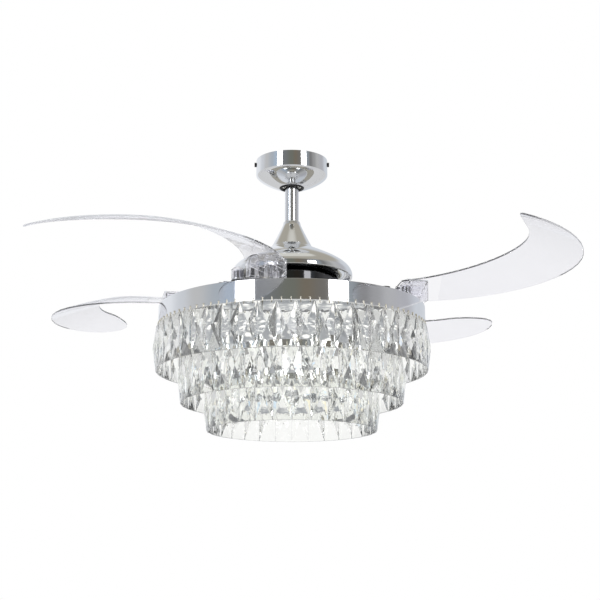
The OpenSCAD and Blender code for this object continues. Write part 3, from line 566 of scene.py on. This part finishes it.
# ---------------------------------------------------------------------------------------------------------
# Rotor plate, gears and pivots. A steel plate screwed under the can carries four leaning posts with bronze
# bushes; a moulded gear in the middle keeps the four blade arms in step, and springs pull them shut.
bronze = metal("sintered_bronze", (0.55, 0.38, 0.17), 0.42, film=0.15, film_size=0.002)
cream_gear = moulded("cream_nylon", (0.72, 0.69, 0.58), 0.38, coat=0.15)
spring_steel = metal("spring_steel", (0.42, 0.42, 0.44), 0.22, film=0.1, film_size=0.003)
dress({
    "rotor_plate": zinc,
    "plate_screws": zinc,
    "gear_retainer": zinc,
    "pivot_posts": ground_steel,
    "pivot_bushes": bronze,
    "post_caps": black_steel,
    "stop_posts": rubber,
    "return_springs": spring_steel,
    "sync_gear": cream_gear,
})

# ---------------------------------------------------------------------------------------------------------
# Blades. Each is one clear moulding, a curved sheet that grows out of a ribbed root box, screwed to a die
# cast arm. Its rim looks darker than its faces, because more plastic lies behind it; that dark is painted
# shade, an opaque dark rim colour, darkest towards the tips.
blade_colour = (0.95, 0.95, 0.98)
root_colour = (0.97, 0.97, 0.992)
# Painted shade: the rim's opaque dark colours stand in for the dark that clear plastic shows edge-on, darker
# towards the tip.
painted_rim_shade = (0.36, 0.35, 0.43)
painted_rim_tip_shade = (0.07, 0.07, 0.09)
rim_tip_shade_fade = (0.36, 0.46)
rim_roughness = 0.25
rim_polish = 0.2
blade_edge_r = 0.0007
# The middle of the first blade's root box, swung out, and how far the box's faces lie from it.
root_middle_r = 0.2357
root_turn = -11.0
root_reach = 0.043


def clear(name, colour, roughness=0.015, index=1.49, clearness=1.0, waves=0.0):
    """Clear plastic or glass with a faint haze that wanders over it, and waves in its skin if asked."""
    paint = Tree(bpy.data.materials.new(name))
    place = paint.node("ShaderNodeTexCoord").part("Object")
    haze = paint.node("ShaderNodeTexNoise", {}, {"Vector": place, "Scale": 18.0, "Detail": 3.0})
    inputs = {
        "Base Color": paint.blend(haze, [0.985 * c for c in colour], [min(1, 1.01 * c) for c in colour]),
        "Roughness": roughness * (0.6 + 0.8 * haze),
        "IOR": index,
        "Transmission Weight": clearness,
    }
    if waves:
        swell = paint.node("ShaderNodeTexNoise", {}, {"Vector": place, "Scale": 95.0, "Detail": 1.0})
        inputs["Normal"] = paint.node("ShaderNodeBump", {}, {"Height": swell, "Distance": waves})
    body = paint.node("ShaderNodeBsdfPrincipled", {}, inputs)
    paint.node("ShaderNodeOutputMaterial", {}, {"Surface": body})
    return paint.owner


acrylic = clear("clear_acrylic", blade_colour, index=1.2, clearness=0.92)
acrylic_root = clear("clear_acrylic_root", root_colour, roughness=0.05, index=1.15, clearness=0.95)
# The rim's material is painted shade: opaque and dark, darker towards the tip, in place of clear plastic.
rim_shade_paint = Tree(bpy.data.materials.new("blade_rim_painted_shade"))
on_rim = rim_shade_paint.node("ShaderNodeTexCoord").part("Object")
in_plan = rim_shade_paint.node("ShaderNodeVectorMath", {"operation": "MULTIPLY"}, {0: on_rim, 1: (1, 1, 0)})
from_axis = rim_shade_paint.node("ShaderNodeVectorMath", {"operation": "LENGTH"}, {0: in_plan}).part("Value")
rim_shade_skin = rim_shade_paint.node(
    "ShaderNodeBsdfPrincipled",
    {},
    {
        "Base Color": rim_shade_paint.blend(rim_shade_paint.ramp(from_axis, *rim_tip_shade_fade), painted_rim_shade, painted_rim_tip_shade),
        "Roughness": rim_roughness - rim_polish * from_axis,
    },
)
rim_shade_paint.node("ShaderNodeOutputMaterial", {}, {"Surface": rim_shade_skin})
cast_alloy = metal("cast_alloy", (0.66, 0.67, 0.69), 0.38, film=0.12, film_size=0.004)
grey_steel = metal("grey_steel", (0.30, 0.30, 0.32), 0.3, film=0.12, film_size=0.003)


def welded(name, node, material, crease=30):
    """A copy of a node's shape with its corners joined and its flat triangles dissolved."""
    mould = bmesh.new()
    mould.from_mesh(nodes[node].data)
    bmesh.ops.remove_doubles(mould, verts=mould.verts, dist=0.000005)
    bmesh.ops.dissolve_limit(mould, angle_limit=math.radians(0.6), verts=mould.verts, edges=mould.edges)
    corners = [v.co.copy() for v in mould.verts]
    mould.verts.index_update()
    faces = [[v.index for v in f.verts] for f in mould.faces]
    mould.free()
    return placed(name, corners, faces, material, crease)


# The bevelled rim faces take the painted rim shade; the faces round the root take the root's plastic.
rim_slot, root_slot = 1, 2
for n in (1, 2, 3, 4):
    blade = welded(f"clear_blade_{n}", f"blade_{n}", acrylic)
    blade.data.materials.append(rim_shade_paint.owner)
    blade.data.materials.append(acrylic_root)
    turn = math.radians(root_turn + 90 * (n - 1))
    root = (root_middle_r * math.cos(turn), root_middle_r * math.sin(turn))
    for face in blade.data.polygons:
        if math.dist(root, face.center[:2]) < root_reach:
            face.material_index = root_slot
    takes_over(eased(blade, blade_edge_r, segments=3, limit=50, rim_slot=rim_slot), f"blade_{n}")
    dress({f"blade_arm_{n}": cast_alloy, f"blade_screws_{n}": grey_steel})

# ---------------------------------------------------------------------------------------------------------
# Chrome ring and light plate. The ring is rolled from plated strip with its edges turned in, and screwed to
# a plated steel plate, which a nut clamps on the end of the motor's shaft. Its inner face isn't polished.
ring_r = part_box("chrome_ring")[1].x
ring_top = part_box("chrome_ring")[1].z
ring_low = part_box("chrome_ring")[0].z
ring_wall = 0.0015
ring_flange = 0.007
ring_shelf = 0.009

ring_line = [
    (ring_r, ring_top), (ring_r, ring_low), (ring_r - ring_flange, ring_low),
    (ring_r - ring_flange, ring_low + ring_wall), (ring_r - ring_wall, ring_low + ring_wall),
    (ring_r - ring_wall, ring_top - ring_wall), (ring_r - ring_shelf, ring_top - ring_wall),
    (ring_r - ring_shelf, ring_top),
]
dull_plate = metal("dull_plate", (0.50, 0.50, 0.51), 0.25, film=0.12, film_size=0.01)
band = spun("chrome_ring_band", ring_line, chrome, facets=256)
band.data.materials.append(dull_plate)
for face in band.data.polygons:
    faces_inwards = face.normal.xy.dot(face.center.xy) < -0.5 * ring_r
    face.material_index = int(faces_inwards)
takes_over(eased(band, width=0.0006, segments=3), "chrome_ring")
dress({"light_plate": chrome, "shaft_nut": zinc, "ring_screws": zinc})

# ---------------------------------------------------------------------------------------------------------
# Light. A white LED board with its chips in three rings and the driver beside it, under a moulded opal cover
# whose rim clips to the plate. It is lit, softly, so the crystals have light inside them.
opal_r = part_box("diffuser")[1].x
opal_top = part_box("diffuser")[1].z
opal_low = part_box("diffuser")[0].z
opal_wall = 0.0024
opal_corner = 0.004
opal_centre_r = 0.00001
opal_glow = 1.8
opal_milk = ((0.50, 0.51, 0.53), (0.58, 0.59, 0.60))
chip_light = (1.0, 0.98, 0.92)
light_between = (0.05, 0.055, 0.065)
chip_spacing = 48.0
chip_spot = (0.10, 0.62)

opal = Tree(bpy.data.materials.new("opal_plastic"))
on_opal = opal.node("ShaderNodeTexCoord").part("Object")
milk = opal.node("ShaderNodeTexNoise", {}, {"Vector": on_opal, "Scale": 30.0})
grid = opal.node("ShaderNodeTexVoronoi", {}, {"Vector": on_opal, "Scale": chip_spacing, "Randomness": 0.35})
past_chip = opal.ramp(grid, *chip_spot)
opal_skin = opal.node(
    "ShaderNodeBsdfPrincipled",
    {},
    {
        "Base Color": opal.blend(milk, *opal_milk),
        "Roughness": 0.3 + 0.1 * milk,
        "Emission Color": opal.blend(past_chip, chip_light, light_between),
        "Emission Strength": opal_glow,
    },
)
opal.node("ShaderNodeOutputMaterial", {}, {"Surface": opal_skin})
white_enamel = metal("white_enamel", (0.85, 0.85, 0.84), 0.28, film=0.06, metallic=0.0, coat=0.4)
phosphor = moulded("led_phosphor", (0.90, 0.74, 0.22), 0.35, coat=0.5)


def opal_line(inset):
    """The cover's side and its rounded edge, the inset inside its skin."""
    side, foot = opal_r - inset, opal_low + inset
    return [(side, opal_top)] + curve(
        (side, opal_low + 0.012), (side, opal_low + opal_corner + inset / 2),
        (opal_r - opal_corner - inset / 2, foot), (opal_r - 0.014, foot), steps=12,
    ) + [(opal_centre_r, foot)]


opal_cover = spun("opal_cover", opal_line(0) + opal_line(opal_wall)[::-1], opal.owner, facets=128)
takes_over(opal_cover, "diffuser")
dress({"led_board": white_enamel, "led_chips": phosphor, "led_driver": white_plastic})

# ---------------------------------------------------------------------------------------------------------
# Hoops. Two plated hoops hang under the plate on six rods each and carry the middle and the lowest tier.
hoop_wall = 0.0015
for name in ("hoop_2", "hoop_3"):
    low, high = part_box(name)
    hoop_line = [
        (high.x, low.z), (high.x, high.z), (high.x - hoop_wall, high.z), (high.x - hoop_wall, low.z)
    ]
    takes_over(eased(spun(f"{name}_band", hoop_line, chrome, facets=192), width=0.0004), name)
dress({"hoop_rods": chrome})

# ---------------------------------------------------------------------------------------------------------
# Crystals and their pins. Every prism is pressed and polished glass, a flat block whose front and back rise
# in four facets to a point. Two bright pins through its upper corners hang it from the ring or a hoop.
prism_pitch = 0.0336
prism_gap = 0.0012
prism_edge = 0.003
prism_middle = 0.016
prism_chamfer = 0.00035
carrier_gap = 0.0001
tier_carriers = {
    "crystals_1": (ring_r, -2.15),
    "crystals_2": (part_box("hoop_2")[1].x, 2.3),
    "crystals_3": (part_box("hoop_3")[1].x, 0.0),
}

glass_colour = (0.987, 0.994, 0.974)
lead_glass = clear("lead_crystal", glass_colour, roughness=0.0, index=1.54, waves=0.00012)


def ring_of(name, shape, count, radius, level, start, material):
    """Copies of a shape, evenly round the axis, as one plain mesh."""
    tree = bpy.data.node_groups.new(name, "GeometryNodeTree")
    tree.is_modifier = True
    wanted = {
        "Shape": ("NodeSocketObject", shape),
        "Count": ("NodeSocketInt", count),
        "Radius": ("NodeSocketFloat", radius),
        "Level": ("NodeSocketFloat", level),
        "Start": ("NodeSocketFloat", start),
        "Material": ("NodeSocketMaterial", material),
    }
    sockets = {
        label: tree.interface.new_socket(label, in_out="INPUT", socket_type=kind)
        for label, (kind, _) in wanted.items()
    }
    tree.interface.new_socket("Ring", in_out="OUTPUT", socket_type="NodeSocketGeometry")

    def node(kind, settings=None, **links):
        made = tree.nodes.new(kind)
        for key, value in (settings or {}).items():
            setattr(made, key, value)
        for place, source in links.items():
            tree.links.new(source, made.inputs[int(place[1:]) if place[1:].isdigit() else place])
        return made

    given = node("NodeGroupInput").outputs
    full_turn = node("ShaderNodeValue")
    full_turn.outputs[0].default_value = 2 * math.pi
    step = node("ShaderNodeMath", {"operation": "DIVIDE"}, _0=full_turn.outputs[0], _1=given["Count"])
    index = node("GeometryNodeInputIndex")
    angle = node("ShaderNodeMath", {"operation": "MULTIPLY"}, _0=index.outputs[0], _1=step.outputs[0])
    angle = node("ShaderNodeMath", {"operation": "ADD"}, _0=angle.outputs[0], _1=given["Start"])
    cosine = node("ShaderNodeMath", {"operation": "COSINE"}, _0=angle.outputs[0])
    sine = node("ShaderNodeMath", {"operation": "SINE"}, _0=angle.outputs[0])
    across = node("ShaderNodeMath", {"operation": "MULTIPLY"}, _0=cosine.outputs[0], _1=given["Radius"])
    along = node("ShaderNodeMath", {"operation": "MULTIPLY"}, _0=sine.outputs[0], _1=given["Radius"])
    spot = node("ShaderNodeCombineXYZ", None, X=across.outputs[0], Y=along.outputs[0], Z=given["Level"])
    facing = node("ShaderNodeCombineXYZ", None, Z=angle.outputs[0])
    spots = node("GeometryNodePoints", None, Count=given["Count"], Position=spot.outputs[0])
    held = node("GeometryNodeObjectInfo", {"transform_space": "ORIGINAL"}, Object=given["Shape"])
    copies = node(
        "GeometryNodeInstanceOnPoints", None, Points=spots.outputs[0],
        Instance=held.outputs["Geometry"], Rotation=facing.outputs[0],
    )
    real = node("GeometryNodeRealizeInstances", None, Geometry=copies.outputs[0])
    painted = node(
        "GeometryNodeSetMaterial", None, Geometry=real.outputs[0], Material=given["Material"]
    )
    node("NodeGroupOutput", None, Ring=painted.outputs[0])

    piece = bpy.data.objects.new(name, bpy.data.meshes.new(name))
    bpy.context.scene.collection.objects.link(piece)
    modifier = piece.modifiers.new("ring", "NODES")
    modifier.node_group = tree
    for label, (_, value) in wanted.items():
        modifier[sockets[label].identifier] = value
    bpy.context.view_layer.update()
    evaluated = piece.evaluated_get(bpy.context.evaluated_depsgraph_get())
    piece.data = bpy.data.meshes.new_from_object(evaluated)
    piece.modifiers.clear()
    return piece


half_w = (prism_pitch - prism_gap) / 2
half_e = prism_edge / 2
half_m = prism_middle / 2
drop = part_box("crystals_1")[1].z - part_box("crystals_1")[0].z
prism_outline = ((-half_w, 0), (half_w, 0), (half_w, -drop), (-half_w, -drop))
prism_corners = [(s * half_e, y, z) for s in (-1, 1) for y, z in prism_outline]
prism_corners += [(-half_m, 0, -drop / 2), (half_m, 0, -drop / 2)]
prism_faces = (
    [(8, k, (k + 1) % 4) for k in range(4)]
    + [(9, 4 + (k + 1) % 4, 4 + k) for k in range(4)]
    + [(k, 4 + k, 4 + (k + 1) % 4, (k + 1) % 4) for k in range(4)]
)
prism = placed("prism", prism_corners, prism_faces, lead_glass, crease=20)
prism = eased(prism, prism_chamfer, segments=1, limit=8)

pin_r = 0.0009
pin_sink = 0.004
pin_point = 0.0005
pin_rise = 0.0075
pin_head = 0.0014
pin_neck = 0.0022
pin_neck_angle = -0.9
pin_steps = 10
pin_line = [(0, -pin_sink), (pin_r, pin_point - pin_sink), (pin_r, pin_rise - pin_neck)] + [
    (pin_head * math.cos(a), pin_rise - pin_head + pin_head * math.sin(a))
    for a in np.linspace(pin_neck_angle, math.pi / 2, 6)
]
turns = [2 * math.pi * k / pin_steps for k in range(pin_steps)]
pin_corners = [(r * math.cos(a), r * math.sin(a), z) for r, z in pin_line for a in turns]
pin_faces = [
    (j * pin_steps + k, j * pin_steps + (k + 1) % pin_steps,
     (j + 1) * pin_steps + (k + 1) % pin_steps, (j + 1) * pin_steps + k)
    for j in range(len(pin_line) - 1) for k in range(pin_steps)
]
pin_metal = metal("gilt_pin", (0.80, 0.76, 0.66), 0.12, film=0.05)
pin = placed("pin", pin_corners, pin_faces, pin_metal, crease=40)
# The ends of the outline lie on the pin's own axis, so their corners are joined into one.
ends = bmesh.new()
ends.from_mesh(pin.data)
bmesh.ops.remove_doubles(ends, verts=ends.verts, dist=0.000001)
ends.to_mesh(pin.data)
ends.free()

pins = []
for name, (carrier_r, first_turn) in tier_carriers.items():
    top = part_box(name)[1].z
    prism_r = carrier_r + half_e + carrier_gap
    count = round(2 * math.pi * prism_r / prism_pitch)
    start = math.radians(first_turn)
    tier = ring_of(f"{name}_tier", prism, count, prism_r, top, start, lead_glass)
    tier.data.materials.clear()
    tier.data.materials.append(lead_glass)
    takes_over(tier, name)
    step = 2 * math.pi / count
    for side in (-1, 1):
        pins.append(
            ring_of(
                f"{name}_pins_{side}", pin, count, carrier_r + pin_r, top, start + side * step / 4, pin_metal
            )
        )
for piece in (prism, pin):
    bpy.data.objects.remove(piece)
for piece in pins:
    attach(piece, "hanging_frame")
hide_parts("crystal_hooks")
for k, piece in enumerate(pins):
    piece.name = f"crystal_pins_{k + 1}"
